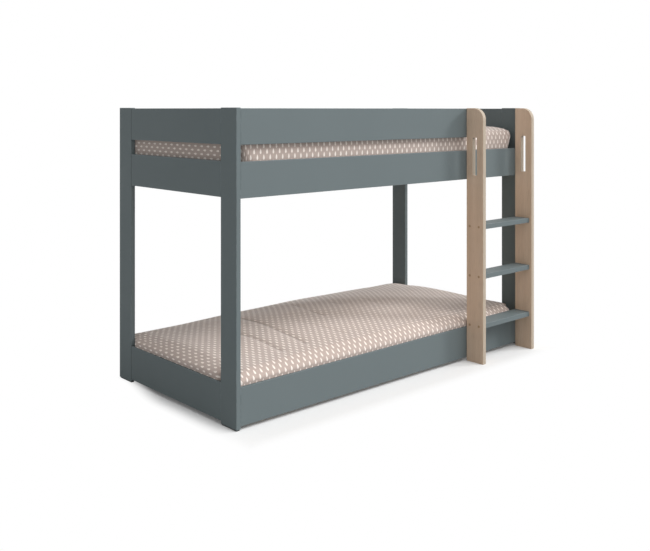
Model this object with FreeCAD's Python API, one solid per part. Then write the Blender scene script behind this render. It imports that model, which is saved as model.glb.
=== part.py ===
import FreeCAD, Part
import math
import os

# A low bunk bed: four flat posts, boards all round, two slatted bases with mattresses and a ladder in front.
# X runs along the bed, the front with the ladder faces -Y, Z is up.
# The origin is on the floor, in the middle of the whole part with its ladder.

os.makedirs("parts", exist_ok=True)
Vector = FreeCAD.Vector

# Driving dimensions, in millimetres

# Posts and boards
bed_length = 1966.0            # over the posts, along X
bed_depth = 960.0              # over the posts, along Y
post_thickness = 22.0          # along X
post_width = 110.0             # along Y
post_rise = 3.0                # post tops above the guard boards
board_thickness = 22.0
edge_round = 1.5               # eased edges of posts, boards and rungs

# Upper bunk
rail_bottom = 948.0            # over the floor
rail_height = 150.0
guard_gap = 70.0               # open slot between rail and guard
guard_height = 150.0

# Lower bunk
base_clearance = 17.0          # floor to base boards
base_height = 160.0

# Foot pads under the posts
pad_height = 5.0
pad_inset = 3.0                # pad edge inside the post's outline
pad_pin_diameter = 4.0
pad_pin_length = 15.0
pad_pin_spacing = 60.0

# Slatted bases
slat_count = 12
slat_width = 80.0
slat_thickness = 18.0
slat_round = 3.0
slat_end_gap = 2.0             # slat end to board
cleat_height = 30.0
cleat_thickness = 25.0
cleat_end_gap = 50.0           # cleat end to post
upper_cleat_rise = 54.0        # above the bottom edge of the rail
lower_cleat_rise = 5.0         # above the bottom edge of the base board

# Ladder
stile_thickness = 25.0
stile_width = 108.0
stile_drop = 1.0               # stile tops below the post tops
stile_round = 3.0
stile_top_radius = 60.0        # front top corner
ladder_clear_width = 404.6     # between the stiles
ladder_end_gap = 3.0           # right stile to the plane of the post's inner face
grip_width = 28.0
grip_length = 197.0
grip_rise = 22.0               # lower end of the grip slot above the bottom edge of the rail
grip_corner = 3.0
grip_edge_round = 0.8
rung_count = 3
rung_thickness = 25.0
rung_pitch = 257.0
first_rung_top = 203.5         # over the floor
rung_front_inset = 14.0        # behind the stile's front edge
rung_screw_back = 22.0         # screw axis to the rung's back edge
rung_screw_front = 14.0        # screw axis to the rung's front edge

# Mattresses
mattress_height = 152.0        # up to the shoulder
upper_crown = 18.0             # middle above the shoulder
lower_crown = 60.0
shoulder_inset = 45.0
upper_foot_inset = 20.0        # sides drawn in at the bottom
upper_waist_inset = 8.0
upper_waist_rise = 50.0
upper_bulge_rise = 105.0       # height of the widest line
lower_foot_inset = 16.0
rim_overhang = 12.0            # lower mattress swells over the edge of its boards
rim_bulge_share = 0.3          # widest line between the rim and the shoulder
corner_round = 60.0
end_top_round = 50.0
end_foot_round = 20.0
end_tip = 2.0                  # length left off the rounded end
channel_pitch = 190.0          # sewn lines across the cover
channel_offset = -40.0
channel_depth = 4.0
channel_half_width = 16.0
padding = 10.0                 # padded wall round the spring space
soft_gap = 1.5                 # mattress to boards and posts
seat_gap = 0.3                 # mattress to slats

# Dowels, cam fittings and screws
fit_clearance = 0.1            # round a fastener in its hole
hole_end_gap = 1.0             # free depth at the bottom of a hole
dowel_diameter = 8.0
dowel_length = 35.0
dowel_in_post = 12.0           # depth in the face of a post
dowel_chamfer = 1.0
fitting_spacing = 90.0         # between the two fittings at a board's end
cam_setback = 34.0             # cam axis to the board's end
cam_diameter = 15.0
cam_past_axis = 5.0            # cam depth past the bolt axis
cam_sink = 0.3                 # below the board's face
cam_slot_length = 9.0
cam_slot_width = 1.8
cam_slot_depth = 2.5
bolt_thread_diameter = 6.0
bolt_thread_length = 11.0
bolt_neck_diameter = 5.0
bolt_head_diameter = 7.0
bolt_head_length = 5.0
bolt_hole_diameter = 8.0
ladder_screw_length = 50.0
ladder_screw_diameter = 7.0
ladder_screw_head = 10.0
ladder_screw_spacing = 60.0
ladder_screw_socket = 4.0      # across the hexagon's corners
ladder_screw_socket_depth = 3.0
cap_diameter = 13.0
cap_rim = 1.2                  # stands proud of the stile
cap_plug = 1.5                 # depth of the screw head under the stile's face
base_screw_length = 35.0
base_screw_diameter = 4.0
base_screw_head = 8.0
base_screw_socket = 3.0
base_screw_socket_depth = 1.2
screw_tip_share = 0.25         # width of a screw's point

# Places worked out from those sizes
half_length = bed_length / 2
bed_centre_y = stile_width / 2
front = bed_centre_y - bed_depth / 2
back = bed_centre_y + bed_depth / 2
front_inner = front + board_thickness
back_inner = back - board_thickness
post_inner_x = half_length - post_thickness
board_inner_x = half_length - board_thickness
base_top = base_clearance + base_height
rail_top = rail_bottom + rail_height
guard_bottom = rail_top + guard_gap
guard_top = guard_bottom + guard_height
post_top = guard_top + post_rise
stile_top = post_top - stile_drop
right_stile_x = post_inner_x - ladder_end_gap - stile_thickness
left_stile_x = right_stile_x - ladder_clear_width - stile_thickness
guard_end_x = left_stile_x + stile_thickness
lower_cleat_bottom = base_clearance + lower_cleat_rise
upper_cleat_bottom = rail_bottom + upper_cleat_rise

BOARD_LEVELS = {
    "base": (base_clearance, base_top),
    "rail": (rail_bottom, rail_top),
    "guard": (guard_bottom, guard_top),
}
HEXAGON_SIDES = 6
PLUS_X = Vector(1, 0, 0)
PLUS_Y = Vector(0, 1, 0)
PLUS_Z = Vector(0, 0, 1)

pieces = {}      # node name to its solid
cutters = {}     # node name to the shapes taken out of it
hardware = {}    # node name to the list of its separate solids


def middle(span):
    return (span[0] + span[1]) / 2


def block(x_span, y_span, z_span, rounding):
    """A straight board with all its edges eased."""
    sizes = [span[1] - span[0] for span in (x_span, y_span, z_span)]
    box = Part.makeBox(*sizes, Vector(x_span[0], y_span[0], z_span[0]))
    return box.makeFillet(rounding, box.Edges)


def cut_later(node, shape):
    cutters.setdefault(node, []).append(shape)


def fit(node, solid):
    hardware.setdefault(node, []).append(solid)


def rod(start, direction, diameter, length):
    return Part.makeCylinder(diameter / 2, length, start, direction)


def round_edges(shape):
    return [edge for edge in shape.Edges if isinstance(edge.Curve, Part.Circle)]


def dowel(joint, direction, depth, first, second):
    """A wooden dowel across a joint: depth of it is in the second piece, the rest in the first."""
    start = joint - direction * (dowel_length - depth)
    pin = rod(start, direction, dowel_diameter, dowel_length)
    fit("wood_dowels", pin.makeChamfer(dowel_chamfer, round_edges(pin)))
    hole_start = start - direction * hole_end_gap
    hole_length = dowel_length + 2 * hole_end_gap
    hole = rod(hole_start, direction, dowel_diameter + 2 * fit_clearance, hole_length)
    cut_later(first, hole)
    cut_later(second, hole)


def cam_fitting(joint, direction, inward, board, post):
    """A bolt screwed into the post and a cam disc, let into the board's inner face, that pulls on its head."""
    centre = joint - direction * cam_setback
    head_start = centre - direction * (bolt_head_length / 2)
    thread = rod(joint, direction, bolt_thread_diameter, bolt_thread_length)
    neck = rod(centre, direction, bolt_neck_diameter, cam_setback)
    head = rod(head_start, direction, bolt_head_diameter, bolt_head_length)
    fit("cam_bolts", thread.fuse([neck, head]))
    thread_hole = bolt_thread_diameter + 2 * fit_clearance
    cut_later(post, rod(joint, direction, thread_hole, bolt_thread_length + hole_end_gap))
    bolt_room_start = head_start - direction * hole_end_gap
    bolt_room = rod(bolt_room_start, direction, bolt_hole_diameter, (joint - bolt_room_start).Length)
    cut_later(board, bolt_room)

    cam_floor = centre - inward * cam_past_axis
    cam_height = cam_past_axis + board_thickness / 2 - cam_sink
    disc = rod(cam_floor, inward, cam_diameter, cam_height)
    slot = Part.makeBox(cam_slot_length, cam_slot_depth, cam_slot_width)
    slot.translate(Vector(-cam_slot_length / 2, -cam_slot_depth / 2, -cam_slot_width / 2))
    slot.translate(cam_floor + inward * (cam_height - cam_slot_depth / 2))
    fit("cam_discs", disc.cut([bolt_room, slot]))
    cut_later(board, rod(cam_floor, inward, cam_diameter + 2 * fit_clearance, cam_height + cam_sink))


def screw_shape(start, direction, length, diameter, head, grow):
    """A countersunk screw with a blunt point; grow widens it into the hole that it needs."""
    radius = diameter / 2 + grow
    head_depth = (head - diameter) / 2
    shaft_length = length - diameter
    cone = Part.makeCone(head / 2 + grow, radius, head_depth, start, direction)
    shaft = Part.makeCylinder(radius, shaft_length, start, direction)
    point_start = start + direction * shaft_length
    point = Part.makeCone(radius, radius * screw_tip_share, diameter, point_start, direction)
    return cone.fuse([shaft, point])


def hexagon(start, direction, across, depth):
    """The room for a hexagon key in a screw's head."""
    turns = [2 * math.pi * k / HEXAGON_SIDES for k in range(HEXAGON_SIDES + 1)]
    ring = Part.makePolygon([Vector(math.cos(turn), math.sin(turn), 0) * (across / 2) for turn in turns])
    socket = Part.Face(ring).extrude(Vector(0, 0, depth))
    socket.Placement = FreeCAD.Placement(start, FreeCAD.Rotation(PLUS_Z, direction))
    return socket


def screw(node, start, direction, size, first, second):
    """A screw from a face of the first piece into the second, with a hole for it in both."""
    length, diameter, head, socket, socket_depth = size
    body = screw_shape(start, direction, length, diameter, head, 0.0)
    fit(node, body.cut(hexagon(start, direction, socket, socket_depth)))
    hole = screw_shape(start, direction, length + hole_end_gap, diameter, head, fit_clearance)
    cut_later(first, hole)
    cut_later(second, hole)


LADDER_SCREW = (
    ladder_screw_length,
    ladder_screw_diameter,
    ladder_screw_head,
    ladder_screw_socket,
    ladder_screw_socket_depth,
)
BASE_SCREW = (
    base_screw_length,
    base_screw_diameter,
    base_screw_head,
    base_screw_socket,
    base_screw_socket_depth,
)


# Posts with their foot pads

def post(side, end):
    """One upright: side is front or rear, end is left or right."""
    x_span = (-half_length, -post_inner_x) if end == "left" else (post_inner_x, half_length)
    y_span = (front, front + post_width) if side == "front" else (back - post_width, back)
    node = f"post_{side}_{end}"
    pieces[node] = block(x_span, y_span, (pad_height, post_top), edge_round)
    pad = block(
        (x_span[0] + pad_inset, x_span[1] - pad_inset),
        (y_span[0] + pad_inset, y_span[1] - pad_inset),
        (0.0, pad_height),
        edge_round,
    )
    for sign in (-1, 1):
        foot = Vector(middle(x_span), middle(y_span) + sign * pad_pin_spacing / 2, pad_height)
        pad = pad.fuse(rod(foot, PLUS_Z, pad_pin_diameter, pad_pin_length))
        pin_hole = pad_pin_diameter + 2 * fit_clearance
        cut_later(node, rod(foot, PLUS_Z, pin_hole, pad_pin_length + hole_end_gap))
    fit("foot_pads", pad)


# Boards between the posts

def end_boards(end):
    """Guard, rail and base board of one end, glued between its two posts with dowels."""
    x_span = (-half_length, -board_inner_x) if end == "left" else (board_inner_x, half_length)
    y_span = (front + post_width, back - post_width)
    for level, z_span in BOARD_LEVELS.items():
        node = f"{end}_end_{level}"
        pieces[node] = block(x_span, y_span, z_span, edge_round)
        for sign in (-1, 1):
            z = middle(z_span) + sign * fitting_spacing / 2
            x = middle(x_span)
            half = dowel_length / 2
            dowel(Vector(x, y_span[0], z), -PLUS_Y, half, node, f"post_front_{end}")
            dowel(Vector(x, y_span[1], z), PLUS_Y, half, node, f"post_rear_{end}")


def fasten_side_board(node, side, end, z_span):
    """Two cam fittings and a dowel between a long board and the inner face of a post."""
    direction = -PLUS_X if end == "left" else PLUS_X
    inward = PLUS_Y if side == "front" else -PLUS_Y
    y = front + board_thickness / 2 if side == "front" else back - board_thickness / 2
    joint = Vector(direction.x * post_inner_x, y, middle(z_span))
    post_node = f"post_{side}_{end}"
    dowel(joint, direction, dowel_in_post, node, post_node)
    for sign in (-1, 1):
        offset = Vector(0, 0, sign * fitting_spacing / 2)
        cam_fitting(joint + offset, direction, inward, node, post_node)


def side_boards(side):
    """Guard, rail and base board of one long side; the front guard stops at the ladder."""
    y_span = (front, front_inner) if side == "front" else (back_inner, back)
    for level, z_span in BOARD_LEVELS.items():
        stops_at_ladder = side == "front" and level == "guard"
        right_x = guard_end_x if stops_at_ladder else post_inner_x
        node = f"{side}_{level}"
        pieces[node] = block((-post_inner_x, right_x), y_span, z_span, edge_round)
        fasten_side_board(node, side, "left", z_span)
        if not stops_at_ladder:
            fasten_side_board(node, side, "right", z_span)


# Slatted bases

def slatted_base(bunk, level, cleat_bottom):
    """Two cleats on the long boards and the slats across them; returns the height of the slat tops."""
    slat_bottom = cleat_bottom + cleat_height
    slat_top = slat_bottom + slat_thickness
    slat_gap = (2 * post_inner_x - slat_count * slat_width) / (slat_count + 1)
    first_slat = -post_inner_x + slat_gap + slat_width / 2
    slat_step = slat_width + slat_gap
    cleat_x = post_inner_x - cleat_end_gap
    cleats = {
        "front": (front_inner, front_inner + cleat_thickness, -PLUS_Y),
        "rear": (back_inner - cleat_thickness, back_inner, PLUS_Y),
    }
    for side, (y0, y1, outward) in cleats.items():
        node = f"{bunk}_{side}_cleat"
        pieces[node] = block((-cleat_x, cleat_x), (y0, y1), (cleat_bottom, slat_bottom), edge_round)
        inner_y = y1 if side == "front" else y0
        for k in range(0, slat_count - 1, 2):
            x = first_slat + (k + 0.5) * slat_step
            head = Vector(x, inner_y, cleat_bottom + cleat_height / 2)
            screw("base_screws", head, outward, BASE_SCREW, node, f"{side}_{level}")
    for k in range(slat_count):
        x = first_slat + k * slat_step
        node = f"{bunk}_slat_{k + 1:02d}"
        pieces[node] = block(
            (x - slat_width / 2, x + slat_width / 2),
            (front_inner + slat_end_gap, back_inner - slat_end_gap),
            (slat_bottom, slat_top),
            slat_round,
        )
        for side, (y0, y1, outward) in cleats.items():
            head = Vector(x, (y0 + y1) / 2, slat_top)
            screw("base_screws", head, -PLUS_Z, BASE_SCREW, node, f"{bunk}_{side}_cleat")
    return slat_top


# Ladder

def stile(node, x0):
    """A ladder stile: flat board on edge with a rounded top corner and a grip slot through it."""
    nose = front - stile_width
    radius = stile_top_radius
    slant = radius * math.sqrt(0.5)
    arc_start = Vector(x0, nose, stile_top - radius)
    arc_middle = Vector(x0, nose + radius - slant, stile_top - radius + slant)
    arc_end = Vector(x0, nose + radius, stile_top)
    corners = [
        arc_end,
        Vector(x0, front, stile_top),
        Vector(x0, front, 0),
        Vector(x0, nose, 0),
        arc_start,
    ]
    outline = [Part.makeLine(a, b) for a, b in zip(corners, corners[1:])]
    outline.append(Part.Arc(arc_start, arc_middle, arc_end).toShape())
    body = Part.Face(Part.Wire(outline)).extrude(PLUS_X * stile_thickness)

    def on_a_side(edge):
        box = edge.BoundBox
        return any(abs(box.XMin - x) + abs(box.XMax - x) < fit_clearance for x in (x0, x0 + stile_thickness))

    rims = [edge for edge in body.Edges if on_a_side(edge) and edge.BoundBox.ZMax > fit_clearance]
    body = body.makeFillet(stile_round, rims)

    grip_start = Vector(x0, front - stile_width / 2 - grip_width / 2, rail_bottom + grip_rise)
    grip = Part.makeBox(stile_thickness, grip_width, grip_length, grip_start)
    through = [edge for edge in grip.Edges if edge.BoundBox.XLength > stile_thickness / 2]
    grip = grip.makeFillet(grip_corner, through)
    body = body.cut(grip)
    grip_box = grip.BoundBox
    grip_box.enlarge(fit_clearance)
    grip_rims = [edge for edge in body.Edges if on_a_side(edge) and grip_box.isInside(edge.BoundBox)]
    pieces[node] = body.makeFillet(grip_edge_round, grip_rims)


def stile_to_board(node, x0, board, z_span):
    """Two screws from the inner face of a front board into the back edge of a stile."""
    for sign in (-1, 1):
        z = middle(z_span) + sign * ladder_screw_spacing / 2
        head = Vector(x0 + stile_thickness / 2, front_inner, z)
        screw("ladder_screws", head, -PLUS_Y, LADDER_SCREW, board, node)


def rung(number):
    """A rung between the stiles, with two capped screws through each stile."""
    node = f"ladder_rung_{number + 1}"
    x_span = (left_stile_x + stile_thickness, right_stile_x)
    y_span = (front - stile_width + rung_front_inset, front)
    top = first_rung_top + number * rung_pitch
    pieces[node] = block(x_span, y_span, (top - rung_thickness, top), edge_round)
    outer_faces = {
        "ladder_stile_left": (left_stile_x, PLUS_X),
        "ladder_stile_right": (right_stile_x + stile_thickness, -PLUS_X),
    }
    for stile_node, (x, direction) in outer_faces.items():
        for y in (y_span[0] + rung_screw_front, y_span[1] - rung_screw_back):
            face = Vector(x, y, top - rung_thickness / 2)
            head = face + direction * cap_plug
            screw("ladder_screws", head, direction, LADDER_SCREW, stile_node, node)
            cut_later(stile_node, rod(face, direction, ladder_screw_head + 2 * fit_clearance, cap_plug))
            plug = rod(face, direction, ladder_screw_head, cap_plug)
            rim = rod(face, -direction, cap_diameter, cap_rim)
            dome_edge = [edge for edge in round_edges(rim) if abs(edge.Curve.Center.x - x) > cap_rim / 2]
            fit("screw_caps", rim.makeFillet(cap_rim / 2, dome_edge).fuse(plug))


def ladder():
    stile("ladder_stile_left", left_stile_x)
    stile("ladder_stile_right", right_stile_x)
    for level in ("base", "rail"):
        stile_to_board("ladder_stile_left", left_stile_x, f"front_{level}", BOARD_LEVELS[level])
        stile_to_board("ladder_stile_right", right_stile_x, f"front_{level}", BOARD_LEVELS[level])
    stile_to_board("ladder_stile_left", left_stile_x, "front_guard", BOARD_LEVELS["guard"])
    for number in range(rung_count):
        rung(number)


# Mattresses

def quarter(distance, reach):
    """Height of a quarter round, from 0 at its tip to 1 where distance comes to reach."""
    part = min(distance / reach, 1.0)
    return math.sqrt(1 - (1 - part) ** 2)


def swelling_arc(x, narrow, wide, sign):
    """An arc that never passes its wide end: upright there or, where it is low, level at its narrow end.
    Points are (half width, height)."""
    run = wide[0] - narrow[0]
    rise = abs(wide[1] - narrow[1])
    if rise >= run:
        radius = (run ** 2 + rise ** 2) / (2 * run)
        centre = (wide[0] - radius, wide[1])
    else:
        radius = (run ** 2 + rise ** 2) / (2 * rise)
        centre = (narrow[0], narrow[1] + math.copysign(radius, wide[1] - narrow[1]))
    chord = (narrow[0] + wide[0] - 2 * centre[0], narrow[1] + wide[1] - 2 * centre[1])
    stretch = radius / math.hypot(*chord)
    between = (centre[0] + chord[0] * stretch, centre[1] + chord[1] * stretch)
    start, through, finish = (Vector(x, bed_centre_y + sign * w, z) for w, z in (narrow, between, wide))
    return Part.Arc(start, through, finish).toShape()


def mattress_section(x, profile, crown_z):
    """Closed outline across the bed: flat foot, waist, widest line, shoulder and crown."""
    waist, bulge, shoulder = profile[1:]
    right = [Vector(x, bed_centre_y + w, z) for w, z in profile]
    left = [Vector(x, bed_centre_y - w, z) for w, z in profile]
    crown = Part.Arc(right[3], Vector(x, bed_centre_y, crown_z), left[3]).toShape()
    return Part.Wire([
        Part.makeLine(left[0], right[0]),
        Part.makeLine(right[0], right[1]),
        swelling_arc(x, waist, bulge, 1),
        swelling_arc(x, shoulder, bulge, 1),
        crown,
        swelling_arc(x, shoulder, bulge, -1),
        swelling_arc(x, waist, bulge, -1),
        Part.makeLine(left[1], left[0]),
    ])


def mattress_stations(half):
    """Places along X where the outline changes: the rounded ends and the sewn channels."""
    ends = [end_tip, end_foot_round / 2, end_foot_round, end_top_round, corner_round]
    places = {half - inset for inset in ends} | {inset - half for inset in ends}
    reach = half - corner_round - channel_half_width
    lowest = math.ceil((-reach - channel_offset) / channel_pitch)
    highest = math.floor((reach - channel_offset) / channel_pitch)
    channels = [channel_offset + k * channel_pitch for k in range(lowest, highest + 1)]
    for channel in channels:
        places |= {channel - channel_half_width, channel, channel + channel_half_width}
        if channel != channels[-1]:
            places.add(channel + channel_pitch / 2)
    return sorted(places), channels


def mattress(node, profile, crown):
    """A padded mattress with drawn-in sides, a crown and sewn channels, hollow where its springs are."""
    half = half_length - max(post_thickness, board_thickness) - soft_gap
    foot, _, bulge, shoulder = profile
    places, channels = mattress_stations(half)
    sections = []
    for x in places:
        inset = half - abs(x)
        narrowing = corner_round * (1 - quarter(inset, corner_round))
        up = quarter(inset, end_top_round)
        down = quarter(inset, end_foot_round)
        sink = channel_depth if x in channels else 0.0
        turned = []
        for w, z in profile:
            share = up if z > bulge[1] else down
            turned.append((w - narrowing, bulge[1] + (z - bulge[1]) * share))
        turned[3] = (turned[3][0], turned[3][1] - sink / 2)
        sections.append(mattress_section(x, turned, turned[3][1] + crown * up - sink / 2))
    skin = Part.makeLoft(sections, True, True)

    core_x = half - end_top_round
    core_y = foot[0] - padding
    core_bottom = foot[1] + padding
    crown_top = shoulder[1] + crown
    core = Part.makeBox(
        2 * core_x,
        2 * core_y,
        crown_top - core_bottom,
        Vector(-core_x, bed_centre_y - core_y, core_bottom),
    )
    crown_radius = (shoulder[0] ** 2 + crown ** 2) / (2 * crown)
    under_crown = Part.makeCylinder(
        crown_radius - padding,
        2 * core_x,
        Vector(-core_x, bed_centre_y, crown_top - crown_radius),
        Vector(1, 0, 0),
    )
    pieces[node] = skin.cut(core.common(under_crown))


def upper_mattress(slat_top):
    """Held inside the guard boards."""
    side = bed_depth / 2 - board_thickness - soft_gap
    bottom = slat_top + seat_gap
    mattress("upper_mattress", [
        (side - upper_foot_inset, bottom),
        (side - upper_waist_inset, bottom + upper_waist_rise),
        (side, bottom + upper_bulge_rise),
        (side - shoulder_inset, bottom + mattress_height),
    ], upper_crown)


def lower_mattress(slat_top):
    """Fills the space between the base boards and swells over their top edges at the front and back."""
    side = bed_depth / 2 - board_thickness - soft_gap
    bottom = slat_top + seat_gap
    rim = base_top + soft_gap
    shoulder = bottom + mattress_height
    mattress("lower_mattress", [
        (side - lower_foot_inset, bottom),
        (side, rim),
        (side + rim_overhang, rim + (shoulder - rim) * rim_bulge_share),
        (side - shoulder_inset, shoulder),
    ], lower_crown)


# The whole bed

for end_name in ("left", "right"):
    for side_name in ("front", "rear"):
        post(side_name, end_name)
    end_boards(end_name)
for side_name in ("front", "rear"):
    side_boards(side_name)
lower_mattress(slatted_base("lower", "base", lower_cleat_bottom))
upper_mattress(slatted_base("upper", "rail", upper_cleat_bottom))
ladder()

for node, shape in pieces.items():
    solid = shape.cut(cutters[node]) if node in cutters else shape
    solid.exportStep(f"parts/{node}.step")
for node, solids in hardware.items():
    Part.makeCompound(solids).exportStep(f"parts/{node}.step")
print(f"{len(pieces)} boards, bars and mattresses, {len(hardware)} groups of fittings")
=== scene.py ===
# %% [markdown]
# # Dressing a bunk bed
# The bed arrives as solids at their real size: posts, boards, slats, a ladder, fittings and two plain
# mattresses. They are the fixed frame of this lesson, and none of them is moved. What is left is the
# looks: a finish for every board and fitting, and two sewn, stuffed mattresses that take the place of the
# plain ones.

# %% Load the bed
import math

import bmesh
import bpy
import numpy as np
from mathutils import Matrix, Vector


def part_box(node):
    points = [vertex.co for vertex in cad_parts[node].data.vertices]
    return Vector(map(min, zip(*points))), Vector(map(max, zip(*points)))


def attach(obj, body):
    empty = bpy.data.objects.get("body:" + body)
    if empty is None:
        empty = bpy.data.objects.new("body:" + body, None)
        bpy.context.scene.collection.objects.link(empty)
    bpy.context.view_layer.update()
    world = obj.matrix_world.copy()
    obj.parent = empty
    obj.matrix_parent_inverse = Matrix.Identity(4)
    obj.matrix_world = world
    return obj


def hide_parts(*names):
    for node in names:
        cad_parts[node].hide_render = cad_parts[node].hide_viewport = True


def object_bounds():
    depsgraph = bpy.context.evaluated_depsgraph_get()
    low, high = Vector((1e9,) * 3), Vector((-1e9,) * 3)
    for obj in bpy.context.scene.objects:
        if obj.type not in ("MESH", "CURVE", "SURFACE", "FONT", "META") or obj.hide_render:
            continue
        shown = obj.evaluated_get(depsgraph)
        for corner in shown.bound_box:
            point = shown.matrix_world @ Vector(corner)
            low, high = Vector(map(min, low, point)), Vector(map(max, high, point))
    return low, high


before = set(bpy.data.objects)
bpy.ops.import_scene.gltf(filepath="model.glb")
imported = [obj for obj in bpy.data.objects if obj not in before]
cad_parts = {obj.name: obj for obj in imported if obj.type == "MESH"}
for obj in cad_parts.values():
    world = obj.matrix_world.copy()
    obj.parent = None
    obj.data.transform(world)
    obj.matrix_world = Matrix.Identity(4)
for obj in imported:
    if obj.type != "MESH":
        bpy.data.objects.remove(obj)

cad_box = [list(corner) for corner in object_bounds()]
bed_centre = (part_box("front_rail")[0].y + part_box("rear_rail")[1].y) / 2
print("solids:", len(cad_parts), "box in metres:", cad_box)

# %% [markdown]
# ## The camera
# The picture was taken from the height of the bed's own top edge, with the camera held level: every
# upright is parallel to the picture's sides, and the top edge of the front board is almost a level line.
# A tilted camera would make the posts lean together, so the view is moved down with a lens shift instead.

# %% Place the camera
PHOTO_WIDTH = 650
PHOTO_HEIGHT = 551
HORIZON_ROW = 109.7            # row of the picture at the camera's own height
SENSOR = 36.0                  # millimetres, as is the lens
CAMERA_LENS = 47.455
CAMERA_PLACE = Vector((-3.0588, -3.2490, 1.3119))
CAMERA_HEADING = math.radians(47.77)   # from +X towards +Y

camera_data = bpy.data.cameras.new("camera")
camera_data.sensor_width = SENSOR
camera_data.lens = CAMERA_LENS
camera_data.shift_y = (HORIZON_ROW - PHOTO_HEIGHT / 2) / PHOTO_WIDTH
camera = bpy.data.objects.new("camera", camera_data)
camera.location = CAMERA_PLACE
camera.rotation_euler = (math.pi / 2, 0, CAMERA_HEADING - math.pi / 2)
bpy.context.scene.collection.objects.link(camera)
bpy.context.scene.camera = camera
bpy.context.scene.view_settings.view_transform = "Standard"
print("camera at", tuple(CAMERA_PLACE), "shift", round(camera_data.shift_y, 4))

# %% [markdown]
# ## Shader maths in plain Python
# A finish is a small program: it takes a place on the surface and works out a colour, a roughness and a
# bump. Wiring Math nodes by hand hides that. A thin wrapper round a socket lets the program be written as
# ordinary arithmetic, and each operator adds the node that does the work.

# %% Wrap a socket
class Signal:
    """A value on its way through a node tree. Python's operators on it add Math nodes."""

    def __init__(self, tree, socket=None):
        self.tree = tree
        self.socket = socket

    def node(self, kind, settings=None, inputs=None, output=0):
        """Adds any node: its type, its settings, then the values or links of its sockets."""
        made = self.tree.nodes.new(kind)
        for name, value in (settings or {}).items():
            setattr(made, name, value)
        for name, value in (inputs or {}).items():
            if isinstance(value, Signal):
                self.tree.links.new(value.socket, made.inputs[name])
            else:
                made.inputs[name].default_value = value
        return Signal(self.tree, made.outputs[output] if made.outputs else None)

    def math(self, operation, *values):
        """A Math node on plain numbers and signals."""
        return self.node("ShaderNodeMath", {"operation": operation}, dict(enumerate(values)))

    def __add__(self, other):
        return self.math("ADD", self, other)

    def __radd__(self, other):
        return self.math("ADD", other, self)

    def __sub__(self, other):
        return self.math("SUBTRACT", self, other)

    def __rsub__(self, other):
        return self.math("SUBTRACT", other, self)

    def __mul__(self, other):
        return self.math("MULTIPLY", self, other)

    def __rmul__(self, other):
        return self.math("MULTIPLY", other, self)

    def __abs__(self):
        return self.math("ABSOLUTE", self)

    def least(self, other):
        return self.math("MINIMUM", self, other)

    def most(self, other):
        return self.math("MAXIMUM", self, other)

    def root(self):
        return self.math("SQRT", self)

    def fold(self, half):
        """Goes up to half and back down again, over and over: the way to the nearest of many even lines."""
        return self.math("PINGPONG", self, half)

    def fade(self, start, end):
        """From 0 at start to 1 at end, with a soft step between."""
        limits = {"Value": self, "From Min": start, "From Max": end}
        return self.node("ShaderNodeMapRange", {"interpolation_type": "SMOOTHSTEP"}, limits)

    def tint(self, low, high):
        """A colour: low where this value is 0, high where it is 1."""
        return self.node("ShaderNodeMix", {"data_type": "RGBA"}, {0: self, 6: low, 7: high}, 2)

    def axes(self):
        """The three numbers of a place."""
        split = self.node("ShaderNodeSeparateXYZ", {}, {"Vector": self})
        return [Signal(self.tree, socket) for socket in split.socket.node.outputs]

    def noise(self, per_metre, stretch=(1, 1, 1), detail=2.0):
        """Cloudy noise round 0.5, with about so many clouds to the metre along each axis."""
        spread = self.node("ShaderNodeMapping", {}, {"Vector": self, "Scale": stretch})
        return self.node("ShaderNodeTexNoise", {}, {"Vector": spread, "Scale": per_metre, "Detail": detail})


print("signal methods:", ", ".join(name for name in vars(Signal) if not name.startswith("_")))

# %% [markdown]
# ## Studio light
# The bed stands in a white studio. A large lamp hangs high in front of it, so the upper bunk shades the
# back of the lower mattress, and a weaker one stands low on the right, so the ladder throws a faint
# shadow on the boards. Lamps close by would leave the far floor grey, so both are suns, as wide as soft
# boxes. The rest of the light comes from all round, less of it from the left and the back, where the left
# end of the bed falls into shade.

# %% World
AMBIENT = 0.60
FRONT_GAIN = 0.22              # how much brighter the world is straight in front, and darker at the back
RIGHT_GAIN = 0.25              # the same for the right and the left


def sight(start):
    """1 for the camera's own rays, then 1 for these and the rays that gloss or glass sends on; else 0."""
    rays = start.node("ShaderNodeLightPath").socket.node.outputs
    straight, glossy, through = (Signal(start.tree, rays[f"Is {kind} Ray"])
                                 for kind in ("Camera", "Glossy", "Transmission"))
    return straight, straight.most(glossy).most(through)


world = bpy.data.worlds.new("studio")
world.use_nodes = True
world.node_tree.nodes.clear()
sky = Signal(world.node_tree)
right_way, back_way, _ = sky.node("ShaderNodeTexCoord", output="Generated").axes()
dome = AMBIENT + RIGHT_GAIN * right_way - FRONT_GAIN * back_way
sky_level = dome + (1 - dome) * sight(sky)[1]
backdrop = sky.node("ShaderNodeBackground", {}, {"Color": (1, 1, 1, 1), "Strength": sky_level})
sky.node("ShaderNodeOutputWorld", {}, {"Surface": backdrop})
bpy.context.scene.world = world
print("ambient level", AMBIENT)

# %% Lamps
def soft_sun(name, heading, height, level, width):
    """A far, wide lamp: degrees right of the front, degrees over the floor, brightness, degrees across."""
    data = bpy.data.lights.new(name, "SUN")
    data.energy = level * math.pi
    data.angle = math.radians(width)
    side = math.radians(heading)
    rise = math.radians(height)
    towards = Vector((math.sin(side) * math.cos(rise), -math.cos(side) * math.cos(rise), math.sin(rise)))
    light = bpy.data.objects.new(name, data)
    light.rotation_euler = towards.to_track_quat("Z", "Y").to_euler()
    bpy.context.scene.collection.objects.link(light)


soft_sun("high", heading=12, height=59, level=0.45, width=30)
soft_sun("low", heading=59, height=25, level=0.40, width=12)
print("lamps:", [item.name for item in bpy.data.lights])

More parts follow.
